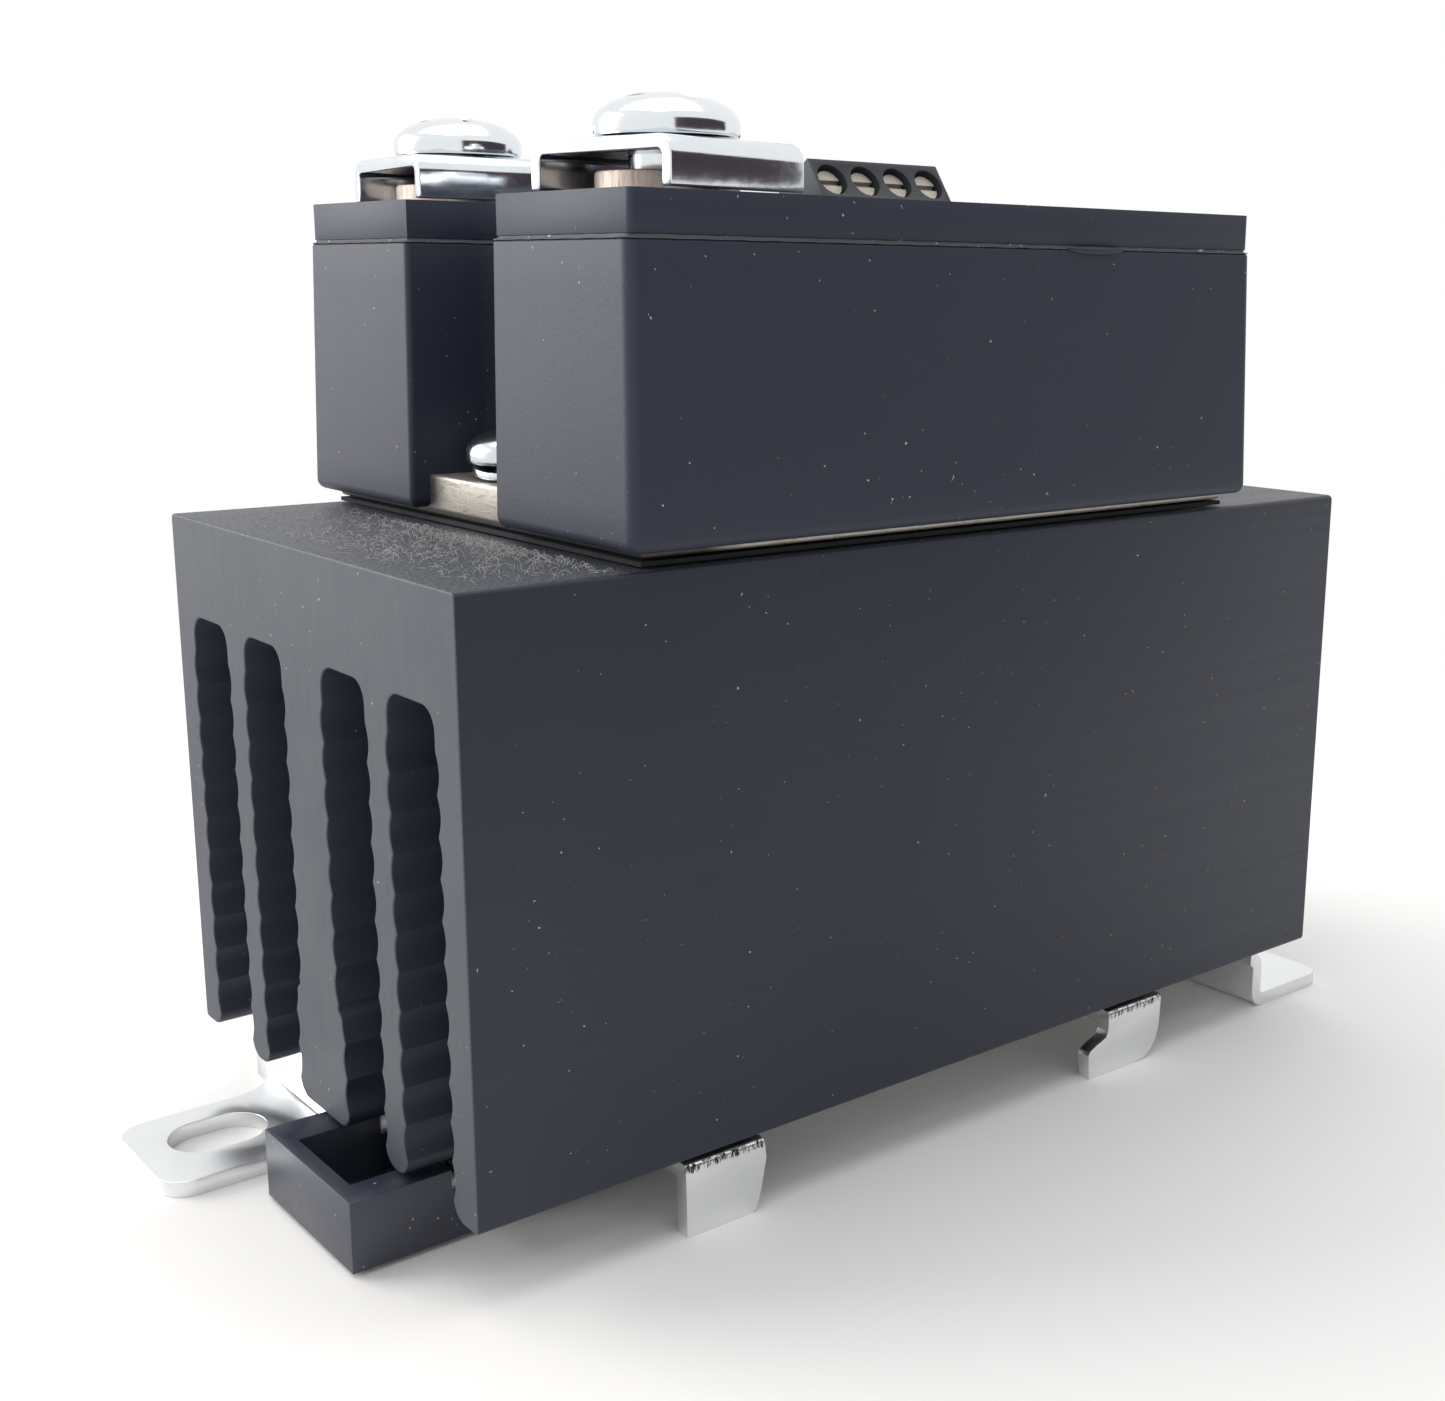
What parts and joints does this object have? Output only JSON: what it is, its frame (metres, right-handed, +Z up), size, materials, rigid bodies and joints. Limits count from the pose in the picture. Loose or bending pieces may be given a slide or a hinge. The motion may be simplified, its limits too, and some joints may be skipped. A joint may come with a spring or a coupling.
{
  "type": "solid state relay on heat sink",
  "caption": "Solid state relay on a finned aluminium heat sink, with screw terminals, a small control plug and a sprung bracket for a 35 mm rail or a panel.",
  "frame": {"origin": "middle of the object's bounding box, on the ground under the bracket's feet", "axes": "+X along the heat sink from the power terminals to the control plug, +Y to the long side away from the camera, +Z up"},
  "size_m": [0.098, 0.0462, 0.0754],
  "materials": {
    "sink_aluminium": "black anodised, satin",
    "zinc_steel": "bright zinc plate",
    "housing_plastic": "fine matte moulding",
    "cover_plastic": "fine matte moulding",
    "plug_plastic": "fine matte moulding",
    "latch_plastic": "polished moulding",
    "plate_metal": "sawn and plated",
    "pad_rubber": "matte",
    "post_brass": "tin washed, soft sheen",
    "copper": "plain copper",
    "ceramic": "ceramic",
    "silicon": "polished",
    "potting": "soft fill",
    "board": "solder mask",
    "part_black": "moulded",
    "film_yellow": "dipped",
    "resistor_blue": "printed"
  },
  "bodies": {
    "base": {"base_plate": "plate_metal", "board_resistor_1": "resistor_blue", "board_resistor_2": "resistor_blue", "board_resistor_3": "resistor_blue", "bracket_screw_far": "zinc_steel", "bracket_screw_near": "zinc_steel", "busbar_left": "copper", "busbar_right": "copper", "ceramic_substrate": "ceramic", "circuit_board": "board", "control_chip": "part_black", "control_header": "housing_plastic", "control_plug": "plug_plastic", "din_bracket": "zinc_steel", "film_capacitor": "film_yellow", "gate_lead_1": "copper", "gate_lead_2": "copper", "gate_lead_3": "copper", "gate_lead_4": "copper", "header_pin_1": "zinc_steel", "header_pin_2": "zinc_steel", "header_pin_3": "zinc_steel", "header_pin_4": "zinc_steel", "heat_sink": "sink_aluminium", "latch_spring": "zinc_steel", "lock_washer_far": "zinc_steel", "lock_washer_near": "zinc_steel", "mounting_screw_far": "zinc_steel", "mounting_screw_near": "zinc_steel", "optocoupler": "part_black", "plug_contact_1": "copper", "plug_contact_2": "copper", "plug_contact_3": "copper", "plug_contact_4": "copper", "potting_compound": "potting", "power_chip_left": "silicon", "power_chip_right": "silicon", "relay_housing": "housing_plastic", "terminal_post_left": "post_brass", "terminal_post_right": "post_brass", "thermal_pad": "pad_rubber", "top_cover": "cover_plastic"},
    "latch": {"din_latch": "latch_plastic"},
    "clamp_right": {"terminal_clamp_right": "zinc_steel"},
    "screw_right": {"terminal_screw_right": "zinc_steel"},
    "clamp_left": {"terminal_clamp_left": "zinc_steel"},
    "screw_left": {"terminal_screw_left": "zinc_steel"},
    "control_screw_1_body": {"control_screw_1": "zinc_steel"},
    "wire_cage_1_body": {"wire_cage_1": "zinc_steel"},
    "control_screw_2_body": {"control_screw_2": "zinc_steel"},
    "wire_cage_2_body": {"wire_cage_2": "zinc_steel"},
    "control_screw_3_body": {"control_screw_3": "zinc_steel"},
    "wire_cage_3_body": {"wire_cage_3": "zinc_steel"},
    "control_screw_4_body": {"control_screw_4": "zinc_steel"},
    "wire_cage_4_body": {"wire_cage_4": "zinc_steel"}
  },
  "joints": [
    {"name": "latch_slide", "type": "slide", "parent": "base", "child": "latch", "axis": [-1, 0, 0], "range_m": [0, 0.0035], "stiffness_N_per_m": 600, "springref_m": -0.004, "deforming": ["latch_spring"]},
    {"name": "right_clamp_lift", "type": "slide", "parent": "base", "child": "clamp_right", "axis": [0, 0, 1], "range_m": [0, 0.003]},
    {"name": "right_screw_turn", "type": "hinge", "parent": "clamp_right", "child": "screw_right", "pos_m": [-0.01845, -0.014, 0.07245], "axis": [0, 0, 1], "range_deg": [0, 1352]},
    {"name": "left_clamp_lift", "type": "slide", "parent": "base", "child": "clamp_left", "axis": [0, 0, 1], "range_m": [0, 0.003]},
    {"name": "left_screw_turn", "type": "hinge", "parent": "clamp_left", "child": "screw_left", "pos_m": [-0.01845, 0.014, 0.07245], "axis": [0, 0, 1], "range_deg": [0, 1352]},
    {"name": "control_screw_1_turn", "type": "hinge", "parent": "base", "child": "control_screw_1_body", "pos_m": [0.00895, 0.00258, 0.07165], "axis": [0, 0.8192, -0.5736], "range_deg": [0, 992]},
    {"name": "wire_cage_1_lift", "type": "slide", "parent": "base", "child": "wire_cage_1_body", "axis": [0, -0.8192, 0.5736], "range_m": [0, 0.0011]},
    {"name": "control_screw_2_turn", "type": "hinge", "parent": "base", "child": "control_screw_2_body", "pos_m": [0.01245, 0.00258, 0.07165], "axis": [0, 0.8192, -0.5736], "range_deg": [0, 992]},
    {"name": "wire_cage_2_lift", "type": "slide", "parent": "base", "child": "wire_cage_2_body", "axis": [0, -0.8192, 0.5736], "range_m": [0, 0.0011]},
    {"name": "control_screw_3_turn", "type": "hinge", "parent": "base", "child": "control_screw_3_body", "pos_m": [0.01595, 0.00258, 0.07165], "axis": [0, 0.8192, -0.5736], "range_deg": [0, 992]},
    {"name": "wire_cage_3_lift", "type": "slide", "parent": "base", "child": "wire_cage_3_body", "axis": [0, -0.8192, 0.5736], "range_m": [0, 0.0011]},
    {"name": "control_screw_4_turn", "type": "hinge", "parent": "base", "child": "control_screw_4_body", "pos_m": [0.01945, 0.00258, 0.07165], "axis": [0, 0.8192, -0.5736], "range_deg": [0, 992]},
    {"name": "wire_cage_4_lift", "type": "slide", "parent": "base", "child": "wire_cage_4_body", "axis": [0, -0.8192, 0.5736], "range_m": [0, 0.0011]}
  ],
  "couplings": [
    {"joint": "right_screw_turn", "follows": "right_clamp_lift", "rad_per_m": 7854},
    {"joint": "left_screw_turn", "follows": "left_clamp_lift", "rad_per_m": 7854},
    {"joint": "control_screw_1_turn", "follows": "wire_cage_1_lift", "rad_per_m": 15708},
    {"joint": "control_screw_2_turn", "follows": "wire_cage_2_lift", "rad_per_m": 15708},
    {"joint": "control_screw_3_turn", "follows": "wire_cage_3_lift", "rad_per_m": 15708},
    {"joint": "control_screw_4_turn", "follows": "wire_cage_4_lift", "rad_per_m": 15708}
  ]
}
